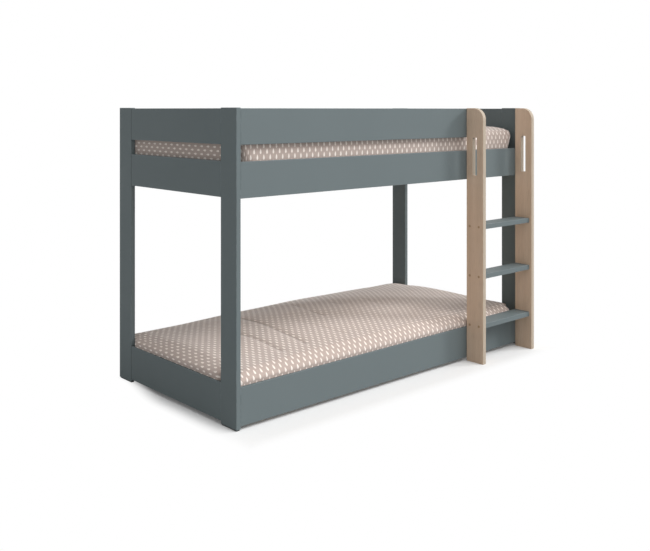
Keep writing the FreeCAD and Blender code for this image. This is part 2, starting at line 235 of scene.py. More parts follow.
# %% [markdown]
# ## Studio floor
# To the bed the floor is a plain grey that throws a little light back. To the camera it is white. A floor
# that is lit by the same lamps would be streaked by long shadows, so a little way from the bed it goes
# over to an even white of its own, and only the near shadow is left.

# %% Floor
FLOOR_HALF = 30.0
FLOOR_GREY = (0.45, 0.45, 0.45, 1)      # what the bed receives from the floor
FLOOR_WHITE = (0.86, 0.86, 0.86, 1)     # what the camera sees of it
FLOOR_LIFT = 0.08              # share of even white that even the deepest shadow keeps
SHADOW_REACH = 0.10            # how far out of the bed's box the shadow shows
SHADOW_LOSS = 0.08             # how much less at the back

floor_material = bpy.data.materials.new("studio_floor")
floor_material.use_nodes = True
floor_material.node_tree.nodes.clear()
spot = Signal(floor_material.node_tree).node("ShaderNodeTexCoord", output="Object")
straight, seen = sight(spot)
spot_x, spot_y, _ = spot.axes()
foot_low, foot_high = (Vector(corner) for corner in cad_box)
past_x = (foot_low.x - spot_x).most(spot_x - foot_high.x)
past_y = (foot_low.y - spot_y).most(spot_y - foot_high.y)
past = past_x.most(past_y) + SHADOW_LOSS * spot_y.fade(bed_centre, foot_high.y)
matte = spot.node("ShaderNodeBsdfDiffuse", {}, {"Color": seen.tint(FLOOR_GREY, FLOOR_WHITE)})
white = spot.node("ShaderNodeEmission", {}, {"Color": (1, 1, 1, 1), "Strength": 1.0})
even = FLOOR_LIFT + (1 - FLOOR_LIFT) * past.fade(0.0, SHADOW_REACH)
both = spot.node("ShaderNodeMixShader", {}, {0: straight * even, 1: matte, 2: white})
spot.node("ShaderNodeOutputMaterial", {}, {"Surface": both})

sheet = bmesh.new()
bmesh.ops.create_grid(sheet, x_segments=1, y_segments=1, size=FLOOR_HALF)
floor_mesh = bpy.data.meshes.new("floor")
sheet.to_mesh(floor_mesh)
sheet.free()
floor_mesh.materials.append(floor_material)
floor = bpy.data.objects.new("floor", floor_mesh)
bpy.context.scene.collection.objects.link(floor)
print("floor", 2 * FLOOR_HALF, "m wide")

# %% [markdown]
# ## Grey lacquer
# Posts, boards and rungs are furniture board under a matte blue-grey lacquer. Such a coat is never one
# flat colour: it has a fine orange-peel skin, faint clouds, and it thins where it rounds an edge. The
# distance to the nearest edge could be painted by hand. A board is a box, so it is worked out from the
# box instead: on the surface one of the three distances to the sides is nought, and the middle one of the
# three is the way to the nearest edge. Where an end board meets a rear post, shade falls into the joint,
# and it is painted into the coat there as a fine dark line.

# %% Material helpers
def srgb(red, green, blue):
    """A colour as it is read off a screen, 0 to 255, made linear by the curve that screens share."""
    shares = [level / 255 for level in (red, green, blue)]
    linear = [share / 12.92 if share <= 0.04045 else ((share + 0.055) / 1.055) ** 2.4 for share in shares]
    return (*linear, 1.0)


def new_finish(name):
    """An empty material, and the place on its piece to start from."""
    material = bpy.data.materials.new(name)
    material.use_nodes = True
    material.node_tree.nodes.clear()
    return material, Signal(material.node_tree).node("ShaderNodeTexCoord", output="Object")


def coat(place, height, varying, steady, depth):
    """The shader of a finish: its height, sockets that vary, sockets that don't, and the bump's depth."""
    normal = place.node("ShaderNodeBump", {}, {"Height": height, "Distance": depth})
    shader = place.node("ShaderNodeBsdfPrincipled", {}, {**steady, **varying, "Normal": normal})
    place.node("ShaderNodeOutputMaterial", {}, {"Surface": shader})


def dress(nodes, material):
    """Gives solids of the bed a finish."""
    for node in nodes:
        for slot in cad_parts[node].material_slots:
            slot.material = material


def edge_way(place, low, high):
    """Distance in metres to the nearest edge of a board, on its surface."""
    ways = [(at - start).least(end - at) for at, start, end in zip(place.axes(), low, high)]
    first, second, third = ways
    return first.least(second).most(first.most(second).least(third))


print("a middle grey is", [round(share, 3) for share in srgb(128, 128, 128)])

# %% Lacquer every grey board
LACQUER = srgb(107, 117, 119)
LACQUER_CLOUD = srgb(113, 123, 125)
LACQUER_EDGE = srgb(124, 133, 136)
LACQUER_ROUGH = 0.48
LACQUER_GLOSS = 0.12
LACQUER_SKIN = 0.00012         # depth of the orange peel
WEAR_REACH = 0.003             # how far from an edge the wear begins
WEAR_FULL = 0.0005
# painted shadow standing for the shade in the joint of an end board and a rear post
JOINT_PAINTED_SHADOW = srgb(52, 58, 60)
JOINT_SHADOW_SHARE = 0.8               # how much of that painted shadow the joint takes
JOINT_SHADOW_REACH = 0.006            # how far in from its end an end board takes painted shadow by a rear post


def grey_lacquer(node):
    """Lacquer for one board: worn edges, and painted shadow on an end board where it meets a rear post."""
    low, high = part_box(node)
    material, place = new_finish("grey_lacquer_" + node)
    clouds = place.noise(per_metre=3.0, detail=4.0)
    peel = place.noise(per_metre=420.0)
    grit = place.noise(per_metre=1400.0, detail=0.0)
    patches = place.noise(per_metre=35.0).fade(0.35, 0.7)
    worn = edge_way(place, low, high).fade(WEAR_REACH, WEAR_FULL) * patches
    colour = worn.tint((clouds * 0.7 + grit * 0.3).tint(LACQUER, LACQUER_CLOUD), LACQUER_EDGE)
    # painted shadow: the end board darkens towards its rear end, where it meets a rear post
    if "_end_" in node:
        joint = (high.y - place.axes()[1]).fade(JOINT_SHADOW_REACH, JOINT_SHADOW_REACH / 2)
        colour = (joint * JOINT_SHADOW_SHARE).tint(colour, JOINT_PAINTED_SHADOW)
    rough = LACQUER_ROUGH + 0.14 * place.noise(per_metre=9.0, detail=3.0) - 0.08 * worn
    varying = {"Base Color": colour, "Roughness": rough}
    coat(place, peel + 0.4 * grit, varying, {"Specular IOR Level": LACQUER_GLOSS}, depth=LACQUER_SKIN)
    return material


grey_boards = [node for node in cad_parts
               if node.startswith(("post_", "ladder_rung")) or node.endswith(("_base", "_rail", "_guard"))]
for node in grey_boards:
    dress([node], grey_lacquer(node))
print("lacquered:", len(grey_boards), "pieces")

# %% [markdown]
# ## Pale wood
# The two ladder stiles are a pale, brushed wood with its grain upright, and they catch most of the light
# on their narrow front edges. Grain is noise that is drawn out along the tree: broad bands from the
# growth rings, fine fibres and short dark pores, each with its own stretch.

# %% Finish the stiles
WOOD_LIGHT = srgb(234, 208, 184)
WOOD_DARK = srgb(220, 192, 166)
WOOD_PORE = srgb(180, 150, 124)
WOOD_EDGE = srgb(179, 168, 152)          # the narrow edges
WOOD_ROUGH = 0.5
WOOD_GLOSS = 0.25
WOOD_RELIEF = 0.00025


def pale_wood():
    material, place = new_finish("pale_wood")
    bands = place.noise(per_metre=26.0, stretch=(1, 1, 0.035), detail=3.0)
    fibres = place.noise(per_metre=330.0, stretch=(1, 1, 0.012), detail=2.0)
    pores = place.noise(per_metre=900.0, stretch=(1, 1, 0.02), detail=0.0).fade(0.62, 0.72)
    facing = place.node("ShaderNodeTexCoord", output="Normal").axes()[0]
    narrow = abs(facing).fade(0.8, 0.4)
    grain = bands.fade(0.3, 0.7) * 0.65 + fibres * 0.35
    colour = grain.tint(WOOD_DARK, WOOD_LIGHT)
    colour = (pores * 0.35).tint(colour, WOOD_PORE)
    colour = (narrow * 0.85).tint(colour, WOOD_EDGE)
    rough = WOOD_ROUGH + 0.16 * fibres
    height = fibres * 0.7 - pores * 0.6
    varying = {"Base Color": colour, "Roughness": rough}
    coat(place, height, varying, {"Specular IOR Level": WOOD_GLOSS}, depth=WOOD_RELIEF)
    return material


stiles = ["ladder_stile_left", "ladder_stile_right"]
dress(stiles, pale_wood())
print("pale wood:", stiles)

# %% [markdown]
# ## Pine and beech
# Slats and cleats are plain planed pine: yellow, with darker late-wood lines along the board and a knot
# here and there. The dowels are beech, with short flecks. Each takes its grain from the way the piece
# lies.

# %% Finish slats, cleats and dowels
PINE_LIGHT = srgb(232, 203, 152)
PINE_DARK = srgb(205, 164, 106)
PINE_KNOT = srgb(128, 82, 45)
BEECH_LIGHT = srgb(214, 176, 134)
BEECH_FLECK = srgb(164, 118, 80)
PINE_ROUGH = 0.55
PINE_GLOSS = 0.3
PINE_RELIEF = 0.0003
PINE_KNOTS = 5.0               # places for a knot to the metre
BEECH_ROUGH = 0.5
BEECH_RELIEF = 0.0002
LATE_LINES = 9.0               # late-wood lines from one cloud of the grain to the next


def pine(name, stretch):
    """Grain drawn out along the axis whose stretch is small."""
    material, place = new_finish(name)
    late = (place.noise(per_metre=38.0, stretch=stretch, detail=2.0) * LATE_LINES).fold(1.0)
    late = late * late * late
    fibres = place.noise(per_metre=500.0, stretch=stretch, detail=1.0)
    knot_way = place.node("ShaderNodeTexVoronoi", {}, {"Vector": place, "Scale": PINE_KNOTS}, "Distance")
    knot = knot_way.fade(0.09, 0.05)
    tone = place.noise(per_metre=7.0, detail=0.0)
    colour = (late * 0.7 + fibres * 0.3).tint(PINE_LIGHT, PINE_DARK)
    colour = (tone * 0.35).tint(colour, PINE_LIGHT)
    colour = (knot * 0.8).tint(colour, PINE_KNOT)
    varying = {"Base Color": colour, "Roughness": PINE_ROUGH + 0.15 * fibres}
    coat(place, fibres - 0.5 * late, varying, {"Specular IOR Level": PINE_GLOSS}, depth=PINE_RELIEF)
    return material


def beech():
    material, place = new_finish("beech")
    fibres = place.noise(per_metre=700.0, stretch=(0.1, 0.1, 1))
    flecks = place.noise(per_metre=1500.0, stretch=(0.15, 0.15, 1), detail=0.0).fade(0.58, 0.7)
    colour = (flecks * 0.7).tint(fibres.tint(BEECH_LIGHT, BEECH_FLECK), BEECH_FLECK)
    varying = {"Base Color": colour, "Roughness": BEECH_ROUGH + 0.2 * fibres}
    coat(place, fibres, varying, {}, depth=BEECH_RELIEF)
    return material


slats = [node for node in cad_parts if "_slat_" in node]
cleats = [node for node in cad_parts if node.endswith("_cleat")]
dress(slats, pine("pine_across", (1, 0.03, 1)))
dress(cleats, pine("pine_along", (0.03, 1, 1)))
dress(["wood_dowels"], beech())
print("pine:", len(slats), "slats,", len(cleats), "cleats")

# %% [markdown]
# ## Zinc and plastic
# The cam bolts, discs and screws are zinc plated: a metal with a soft crystal spangle. The caps over the
# rung screws are brown plastic, the pads under the posts black. Moulded plastic has a fine even grain,
# and pads gather pale dust.

# %% Finish the fittings
ZINC_DARK = srgb(166, 168, 168)
ZINC_LIGHT = srgb(204, 206, 204)
CAP_BROWN = srgb(204, 170, 134)
CAP_DARK = srgb(178, 144, 110)
PAD_BLACK = srgb(34, 35, 36)
PAD_DUST = srgb(92, 90, 86)
ZINC_ROUGH = 0.28
ZINC_RELIEF = 0.00004
ZINC_SPANGLES = 600.0          # crystals to the metre
PLASTIC_ROUGH = 0.42
PLASTIC_RELIEF = 0.0001
CAP_DUST_REACH = 0.002
PAD_DUST_REACH = 0.006


def zinc_steel():
    material, place = new_finish("zinc_steel")
    spangle = place.node("ShaderNodeTexVoronoi", {}, {"Vector": place, "Scale": ZINC_SPANGLES}, "Distance")
    scratches = place.noise(per_metre=2500.0, stretch=(1, 0.05, 1), detail=0.0)
    colour = spangle.tint(ZINC_DARK, ZINC_LIGHT)
    rough = ZINC_ROUGH + 0.2 * spangle + 0.1 * scratches
    varying = {"Base Color": colour, "Roughness": rough}
    coat(place, scratches + spangle, varying, {"Metallic": 1.0}, depth=ZINC_RELIEF)
    return material


def moulded_plastic(name, dark, light, dust_reach):
    """Grained plastic, paler with dust below dust_reach metres over the floor."""
    material, place = new_finish(name)
    grain = place.noise(per_metre=1800.0, detail=1.0)
    dust = place.axes()[2].fade(dust_reach, 0.0) * place.noise(per_metre=140.0).fade(0.35, 0.65)
    colour = (grain * 0.6 + dust * 0.5).tint(dark, light)
    rough = PLASTIC_ROUGH + 0.2 * grain + 0.15 * dust
    coat(place, grain, {"Base Color": colour, "Roughness": rough}, {}, depth=PLASTIC_RELIEF)
    return material


dress(["cam_bolts", "cam_discs", "ladder_screws", "base_screws"], zinc_steel())
dress(["screw_caps"], moulded_plastic("brown_plastic", CAP_DARK, CAP_BROWN, CAP_DUST_REACH))
dress(["foot_pads"], moulded_plastic("black_plastic", PAD_BLACK, PAD_DUST, PAD_DUST_REACH))
print("fittings dressed")

# %% [markdown]
# ## A printed cover
# Both mattresses wear a fitted cotton cover in warm taupe, printed all over with small pale drops in
# staggered rows. The print belongs to the cloth and not to the room, so it can't be read off the object's
# coordinates: it has to turn down over the edge. The mattress therefore carries its own map, which
# unrolls the cover flat in metres, and the drops are drawn on that map by a formula: half the width of a
# drop, from its round foot to its pointed tip. A second map tells how far a place is from the nearest
# crease and how tight that crease is.

# %% The cover's cloth
COLUMN_PITCH = 0.0343
ROW_PITCH = 0.0242
DROP_HALF_LENGTH = 0.0118
DROP_HALF_WIDTH = 0.0048
DROP_FULLNESS = 1.3            # makes the widest place of the formula 1
CREASE_HALF_WIDTH = 0.0065
GROUND = srgb(192, 175, 166)
GROUND_DEEP = srgb(182, 165, 156)
DROP = srgb(249, 239, 231)
# painted shadow that darkens the cloth in the creases
CREASE_PAINTED_SHADOW = srgb(120, 102, 92)
CREASE_SHADOW_SHARE = 0.3              # how much of that painted shadow a tight crease takes
PRINT_EDGE = (-0.0004, 0.0006)   # where the ink begins and is full, measured in from a drop's outline
FRAY = 0.0012                  # how far threads carry the ink
THREADS = 900.0                # clouds of thread to the metre
CLOTH_ROUGH = 0.82
CLOTH_RELIEF = 0.0012


def drops(across, along):
    """1 inside the drops of one upright lattice, 0 outside."""
    side = across.fold(COLUMN_PITCH / 2)
    rise = along.math("WRAP", along, ROW_PITCH, -ROW_PITCH) * (1 / DROP_HALF_LENGTH)
    rise = rise.most(-1.0).least(1.0)
    taper = ((1 - rise * rise) * (1 - rise) * 0.5).root()
    return (taper * (DROP_FULLNESS * DROP_HALF_WIDTH) - side).fade(*PRINT_EDGE)


def drop_print_cover():
    material, place = new_finish("drop_print_cover")
    cloth = place.node("ShaderNodeUVMap", {"uv_map": "cover"})
    across, along, _ = cloth.axes()
    warp = cloth.noise(per_metre=THREADS, stretch=(1, 0.05, 1), detail=0.0)
    weft = cloth.noise(per_metre=THREADS, stretch=(0.05, 1, 1), detail=0.0)
    frayed = (warp + weft - 1.0) * FRAY
    across = across + frayed
    printed = drops(across, along).most(drops(across + COLUMN_PITCH / 2, along + ROW_PITCH))
    lint = cloth.noise(per_metre=60.0, detail=3.0)
    ground = (0.5 * lint + 0.25 * (warp + weft)).tint(GROUND_DEEP, GROUND)
    colour = (printed * (0.88 + 0.12 * warp)).tint(ground, DROP)
    way, tight, _ = place.node("ShaderNodeUVMap", {"uv_map": "creases"}).axes()
    creased = way.fade(CREASE_HALF_WIDTH * 2, CREASE_HALF_WIDTH * 0.4) * tight
    # painted shadow: the cloth darkens along the creases, more where they are tight
    colour = (creased * CREASE_SHADOW_SHARE).tint(colour, CREASE_PAINTED_SHADOW)
    puckers = cloth.noise(per_metre=22.0, stretch=(1, 0.45, 1), detail=3.0)
    height = puckers * 2.4 + (warp + weft) * 0.35 - creased * 0.8
    rough = CLOTH_ROUGH + 0.12 * lint
    steady = {"Specular IOR Level": 0.2, "Sheen Weight": 0.45, "Sheen Roughness": 0.5}
    coat(place, height, {"Base Color": colour, "Roughness": rough}, steady, depth=CLOTH_RELIEF)
    return material


cover_cloth = drop_print_cover()
print("drops per square metre:", round(2 / (COLUMN_PITCH * 2 * ROW_PITCH)))

# %% [markdown]
# ## The blank of a mattress
# A mattress is foam in a tight cover: a round-cornered block whose edges roll over and whose foot is
# drawn in. The block could be a bevelled box, but then every edge would have the same round. Here one
# face with rounded corners is drawn up ring by ring, like clay on a wheel, and each ring stands in a
# little more or less than the last. A voxel remesh then gives it an even skin of small quads, which cloth
# needs.

# %% Mesh helpers
TINY = 1e-9                    # put in place of nought before a division


def link_piece(name, mesh):
    piece = bpy.data.objects.new(name, mesh)
    bpy.context.scene.collection.objects.link(piece)
    return piece


def settle(piece):
    """Puts what the modifiers made into the mesh itself."""
    evaluated = piece.evaluated_get(bpy.context.evaluated_depsgraph_get())
    made = bpy.data.meshes.new_from_object(evaluated)
    piece.modifiers.clear()
    old = piece.data
    piece.data = made
    bpy.data.meshes.remove(old)


def read_vectors(items, name):
    """One vector of every vertex, as rows."""
    rows = np.empty(len(items) * 3)
    items.foreach_get(name, rows)
    return rows.reshape(-1, 3)


def set_points(mesh, places):
    mesh.vertices.foreach_set("co", places.ravel())
    mesh.update()


def smooth_step(value, start, end):
    share = np.clip((value - start) / (end - start), 0, 1)
    return share * share * (3 - 2 * share)


print("mesh helpers ready")

# %% Draw up a blank
CORNER_STEPS = 8
SKIN_VOXEL = 0.0145
EDGE_STEPS = 7


def rolled_edge(inset, foot, wide, tall):
    """Rings of a quarter ellipse, from upright at its foot to level at its top."""
    turns = [math.pi / 2 * step / EDGE_STEPS for step in range(1, EDGE_STEPS + 1)]
    return [(inset + wide * (1 - math.cos(turn)), foot + tall * math.sin(turn)) for turn in turns]


def blank(name, half_x, half_y, corner, rings):
    """A block drawn up from its foot. A ring is how far it stands in, and its height."""
    form = bmesh.new()
    bmesh.ops.create_grid(form, x_segments=1, y_segments=1, size=1.0)
    bmesh.ops.scale(form, vec=(half_x, half_y, 1), verts=form.verts)
    bmesh.ops.bevel(form, geom=form.verts[:], offset=corner, affect="VERTICES", segments=CORNER_STEPS,
                    profile=0.5, material=-1)
    lid = next(iter(form.faces))
    last_inset, last_height = 0.0, 0.0
    for number, (inset, height) in enumerate(rings):
        if number > 0:
            made = bmesh.ops.extrude_face_region(form, geom=[lid])["geom"]
            lid = next(item for item in made if isinstance(item, bmesh.types.BMFace))
        shrink = ((half_x - inset) / (half_x - last_inset), (half_y - inset) / (half_y - last_inset), 1)
        bmesh.ops.scale(form, vec=shrink, verts=lid.verts)
        bmesh.ops.translate(form, vec=(0, 0, height - last_height), verts=lid.verts)
        last_inset, last_height = inset, height
    bmesh.ops.translate(form, vec=(0, bed_centre, 0), verts=form.verts)
    bmesh.ops.recalc_face_normals(form, faces=form.faces)
    mesh = bpy.data.meshes.new(name)
    form.to_mesh(mesh)
    form.free()
    piece = link_piece(name, mesh)
    skin = piece.modifiers.new("skin", "REMESH")
    skin.mode = "VOXEL"
    skin.voxel_size = SKIN_VOXEL
    settle(piece)
    print(name, len(rings), "rings,", len(piece.data.polygons), "quads in the skin")
    return piece


# %% [markdown]
# ## Stuffing
# Pressure inside blows the skin up for a few frames, so that flat stretches crown and edges grow round by
# themselves. Cloth also draws together where it isn't pushed, and foam wouldn't, so only the way outwards
# is kept, and how far each point may go is capped.

# %% Swell the skin
SWELL_FRAMES = 20
SWELL_CAP = 0.012


def swell(piece):
    """Blows the skin up and keeps each point within the cap."""
    before = read_vectors(piece.data.vertices, "co")
    outward = read_vectors(piece.data.vertices, "normal")
    cloth = piece.modifiers.new("swell", "CLOTH").settings
    cloth.quality = 5
    cloth.mass = 0.3
    cloth.tension_stiffness = 15
    cloth.compression_stiffness = 15
    cloth.bending_stiffness = 0.5
    cloth.use_pressure = True
    cloth.uniform_pressure_force = 4.0
    cloth.effector_weights.gravity = 0.0
    scene = bpy.context.scene
    for number in range(1, SWELL_FRAMES + 1):
        scene.frame_set(number)
    settle(piece)
    scene.frame_set(1)
    way = read_vectors(piece.data.vertices, "co") - before
    along = (way * outward).sum(axis=1, keepdims=True)
    way -= outward * np.minimum(along, 0)
    length = np.linalg.norm(way, axis=1, keepdims=True)
    set_points(piece.data, before + way * np.minimum(1.0, SWELL_CAP / np.maximum(length, TINY)))
    return float(along.max()), float(np.median(along))


def refine(piece):
    """One subdivision, put into the mesh."""
    fine = piece.modifiers.new("fine", "SUBSURF")
    fine.levels = 1
    fine.render_levels = 1
    settle(piece)


print("cap", SWELL_CAP * 1000, "mm")

# %% [markdown]
# ## Creases
# The quilted cover creases where its sewn channels cross the bed, and it isn't creased evenly. A remesh
# would rub such narrow lines out, so they come last: each point sinks in a soft dip that fades to both
# sides of the line. A crease is given by a few places along it, as it was seen, and dies out at both of
# its ends.

# %% Waves and creases on the top
CREASES = (                    # places from the back to the front, in metres from the bed's middle
    ((-0.475, 0.20), (-0.484, -0.06), (-0.493, -0.26), (-0.505, -0.40)),
    ((-0.658, 0.03), (-0.637, -0.14), (-0.645, -0.40)),
    ((-0.102, 0.24), (-0.159, 0.03), (-0.174, -0.07), (-0.158, -0.16)),
    ((-0.339, -0.07), (-0.305, -0.22), (-0.254, -0.40)),
    ((0.118, 0.25), (0.037, 0.06), (0.041, -0.06)),
    ((0.250, 0.12), (0.225, -0.08), (0.261, -0.21)),
)
CREASE_STRENGTHS = (1.0, 0.9, 0.7, 0.25, 0.35, 0.3)
CREASE_DEPTH = 0.007
CREASE_REACH = 0.016
CREASE_END = 0.07              # length over which a crease dies out
WAVE_LENGTHS = (0.62, 0.43, 0.31, 0.22)
WAVE_HEIGHT = 0.0016           # for a wave one metre long
SIDES_BELOW = 0.085            # depth under the highest place where the sides begin
TOP_FROM = 0.055


def soften(places, top, draw):
    """Long low waves over the top, as in stuffing that has been lain on."""
    x, y, z = places.T
    wave = np.zeros(len(x))
    for length in WAVE_LENGTHS:
        turn, phase = draw.uniform(0, 2 * math.pi, 2)
        wave += length * np.sin(2 * math.pi / length * (x * math.cos(turn) + y * math.sin(turn)) + phase)
    places[:, 2] += WAVE_HEIGHT * wave * smooth_step(z, top - SIDES_BELOW, top - TOP_FROM)


def sink_creases(places, top):
    """Sinks the top along the creases. Returns the way to the nearest crease, and how tight it is."""
    x, y, z = places.T
    y = y - bed_centre
    way = np.full(len(x), 1.0)
    tight = np.zeros(len(x))
    for line, strength in zip(CREASES, CREASE_STRENGTHS):
        line_x, line_y = np.array(line[::-1]).T
        off = np.abs(x - np.interp(y, line_y, line_x))
        ends = smooth_step(y, line_y[0], line_y[0] + CREASE_END)
        ends = ends * smooth_step(y, line_y[-1], line_y[-1] - CREASE_END)
        nearer = off < way
        way = np.where(nearer, off, way)
        tight = np.where(nearer, strength * ends, tight)
    tight = tight * smooth_step(z, top - SIDES_BELOW, top - TOP_FROM)
    places[:, 2] -= CREASE_DEPTH * tight / (1 + (way / CREASE_REACH) ** 2)
    return way, tight


print(len(CREASES), "creases")

# %% [markdown]
# ## Unrolling the cover
# The print has to run over the rolled edge without a jump. Each point of the edge has an angle on its
# quarter ellipse, and the length of the ellipse up to that angle is how much cloth lies between the point
# and the flat top.

# %% Map the cloth
ARC_STEPS = 64


def edge_length(angle, wide, tall):
    """Length of a quarter ellipse from its level top to an angle."""
    steps = np.linspace(0, math.pi / 2, ARC_STEPS + 1)
    speed = np.hypot(wide * np.cos(steps), tall * np.sin(steps))
    pieces = (speed[1:] + speed[:-1]) / 2 * np.diff(steps)
    return np.interp(angle, steps, np.concatenate([[0], np.cumsum(pieces)]))


def add_map(mesh, name, first, second):
    """A UV map from two numbers of every vertex."""
    corner = np.empty(len(mesh.loops), dtype=np.int32)
    mesh.loops.foreach_get("vertex_index", corner)
    layer = mesh.uv_layers.new(name=name)
    layer.uv.foreach_set("vector", np.stack([first, second], axis=1)[corner].ravel())


def cover_map(mesh, places, half_x, half_y, edge):
    """Unrolls the cover: straight on top, then round the edge and down the sides."""
    wide, foot, tall = edge
    x, y, z = places.T
    y = y - bed_centre
    out_x = np.maximum(np.abs(x) - (half_x - wide), 0)
    out_y = np.maximum(np.abs(y) - (half_y - wide), 0)
    out = np.hypot(out_x, out_y)
    angle = np.arctan2(out / wide, np.maximum(z - foot, 0) / tall)
    share = (edge_length(angle, wide, tall) + np.maximum(foot - z, 0)) / np.maximum(out, TINY)
    flat_x = np.sign(x) * (np.abs(x) + out_x * (share - 1))
    flat_y = np.sign(y) * (np.abs(y) + out_y * (share - 1))
    add_map(mesh, "cover", flat_x, flat_y)


print("edge of a round 50 mm edge:", round(float(edge_length(math.pi / 2, 0.05, 0.05)), 4), "m")

# %% [markdown]
# ## Bedding the mattresses
# The upper mattress stands between rails and guards. The lower one is higher than its low boards, so its
# cover rolls out over their top edges, between the posts too. Where a point would be inside a board, it
# takes the shorter way out: in towards the bed, or up onto the board's edge. Corners start square and are
# drawn in afterwards, each by its own radius: a place in a corner's square slides straight in until its
# larger way out has become its distance.

# %% Press against the boards
BOARD_GAP = 0.0012             # cover to boards and posts
FOOT_START = 0.012             # the cover lies out over the boards up to here over their rim
FOOT_END = 0.040
FOOT_TUCK = 0.005              # how far its foot stays behind the outer face of the long boards
END_TUCK = 0.003               # and of the end boards
TUCKED_RADIUS = 0.105          # round of the corner that is tucked in at the ladder
POST_EASE = 0.035              # length over which the cover draws back from a post
post_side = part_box("post_rear_right")[0].x - BOARD_GAP
post_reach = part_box("post_rear_right")[0].y - bed_centre - BOARD_GAP
rim_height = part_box("rear_base")[1].z + BOARD_GAP
side_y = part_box("rear_base")[0].y - bed_centre - BOARD_GAP
brim_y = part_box("rear_base")[1].y - bed_centre - BOARD_GAP
brim_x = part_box("right_end_base")[1].x - BOARD_GAP


def draw_corners(places, half, radius, which):
    """Rounds the corners of the plan where which is true; the radius may change from point to point."""
    x = places[:, 0]
    y = places[:, 1] - bed_centre
    over_x = np.abs(x) - (half[0] - radius)
    over_y = np.abs(y) - (half[1] - radius)
    corner = which & (over_x > 0) & (over_y > 0)
    way = np.maximum(np.hypot(over_x, over_y), TINY)
    share = np.where(corner, np.maximum(over_x, over_y) / way, 1.0)
    places[:, 0] = x + np.sign(x) * over_x * (share - 1)
    places[:, 1] = bed_centre + y + np.sign(y) * over_y * (share - 1)


def press_upper(places):
    """Keeps the cover inside the boards."""
    places[:, 1] = bed_centre + np.clip(places[:, 1] - bed_centre, -side_y, side_y)
    places[:, 0] = np.clip(places[:, 0], -post_side, post_side)


def press_lower(places):
    """Keeps the cover between the boards below their rim, on their rim above, and clear of the posts."""
    x = places[:, 0]
    y = np.clip(places[:, 1] - bed_centre, -brim_y, brim_y)
    z = places[:, 2]
    limit = brim_x + (post_side - brim_x) * smooth_step(np.abs(y), post_reach - POST_EASE, post_reach)
    x = np.clip(x, -limit, limit)
    inside = np.maximum(np.abs(x) - post_side, np.abs(y) - side_y)
    below = rim_height - z
    lift = (inside > 0) & (below > 0) & (below <= inside)
    z = np.where(lift, rim_height, z)
    keep = (inside > 0) & (below > 0) & ~lift
    x = np.where(keep, np.clip(x, -post_side, post_side), x)
    y = np.where(keep, np.clip(y, -side_y, side_y), y)
    foot = np.where(z >= rim_height, 1 - smooth_step(z, rim_height + FOOT_START, rim_height + FOOT_END), 0)
    tuck = 1 - smooth_step(z, rim_height, rim_height + FOOT_END / 2)
    end_foot = np.sign(x) * np.maximum(limit - END_TUCK * tuck, post_side)
    x = np.where(np.abs(x) > post_side, x + (end_foot - x) * foot, x)
    long_foot = np.sign(y) * (brim_y - FOOT_TUCK * tuck)
    y = np.where(np.abs(y) > side_y, y + (long_foot - y) * foot, y)
    places[:] = np.stack([x, y + bed_centre, z], axis=1)
    at_ladder = (x > 0) & (y < 0) & (z >= rim_height)
    draw_corners(places, (post_side, brim_y), TUCKED_RADIUS, at_ladder)


print("posts at", round(post_side, 4), "from", round(post_reach, 4), "rim at", round(rim_height, 4))

# %% [markdown]
# ## From blank to mattress
# The order of the steps matters. Remesh and pressure come first, because they rub fine form out. Then the
# boards press the skin into its bed, one subdivision smooths it, and only after that come the corners,
# the waves and the creases. The cloth is mapped before the creases sink, so the print dips into them.

# %% Make a mattress
BLANK_CORNER = 0.02
TOP_PERCENT = 99               # so many of a hundred points lie lower than what counts as the top


def make_mattress(node, body, half, rings, edge, form, press, seed):
    """Makes a stuffed mattress and puts it in the place of a plain one."""
    low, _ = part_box(node)
    piece = blank(node + "_padded", half[0], half[1], BLANK_CORNER, rings)
    moved = swell(piece)
    places = read_vectors(piece.data.vertices, "co")
    places[:, 2] = np.maximum(places[:, 2], low.z)
    press(places)
    set_points(piece.data, places)
    refine(piece)
    places = read_vectors(piece.data.vertices, "co")
    form(places, half)
    top = np.percentile(places[:, 2], TOP_PERCENT)
    draw = np.random.default_rng(seed)
    soften(places, top, draw)
    cover_map(piece.data, places, half[0], half[1], edge)
    way, tight = sink_creases(places, top)
    add_map(piece.data, "creases", way, tight)
    press(places)
    places[:, 2] = np.maximum(places[:, 2], low.z)
    set_points(piece.data, places)
    for face in piece.data.polygons:
        face.use_smooth = True
    piece.data.materials.clear()
    piece.data.materials.append(cover_cloth)
    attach(piece, body)
    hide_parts(node)
    moved_far = [round(metres * 1000, 1) for metres in moved]
    print(node, len(piece.data.polygons), "faces, moved", moved_far, "mm, from",
          places.min(axis=0).round(4), "to", places.max(axis=0).round(4))


print("corner of a blank", BLANK_CORNER)

# %% [markdown]
# ## The upper mattress
# Only a strip of the upper mattress shows, in the slot between rails and guards. It is a slab with a
# rolled edge, as wide as the boards leave room for, and its corners are rounder low down than high up.
# A bevel would round them alike all the way, so they are drawn in by a radius that changes with height.

# %% Upper mattress
UPPER_EDGE_WIDE = 0.060
UPPER_EDGE_TALL = 0.042
UPPER_CORNER_LOW = 0.091       # at the rails' top
UPPER_CORNER_HIGH = 0.048      # at the guards' foot
UPPER_FOOT = 0.030             # how far the foot is drawn in
UPPER_SIDE = 0.012             # and what is left of that a little higher
UPPER_FOOT_TALL = 0.020
RAIL_EASE = 0.010              # full width is reached so far under the rails' top
upper_low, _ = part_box("upper_mattress")
guard_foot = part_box("front_guard")[0].z
rail_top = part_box("front_rail")[1].z
upper_half = (post_side, side_y)


def form_upper(places, half):
    """Draws the corners in, more so towards the foot."""
    heights = (rail_top, guard_foot)
    radius = np.interp(places[:, 2], heights, (UPPER_CORNER_LOW, UPPER_CORNER_HIGH))
    draw_corners(places, half, radius, np.full(len(places), True))


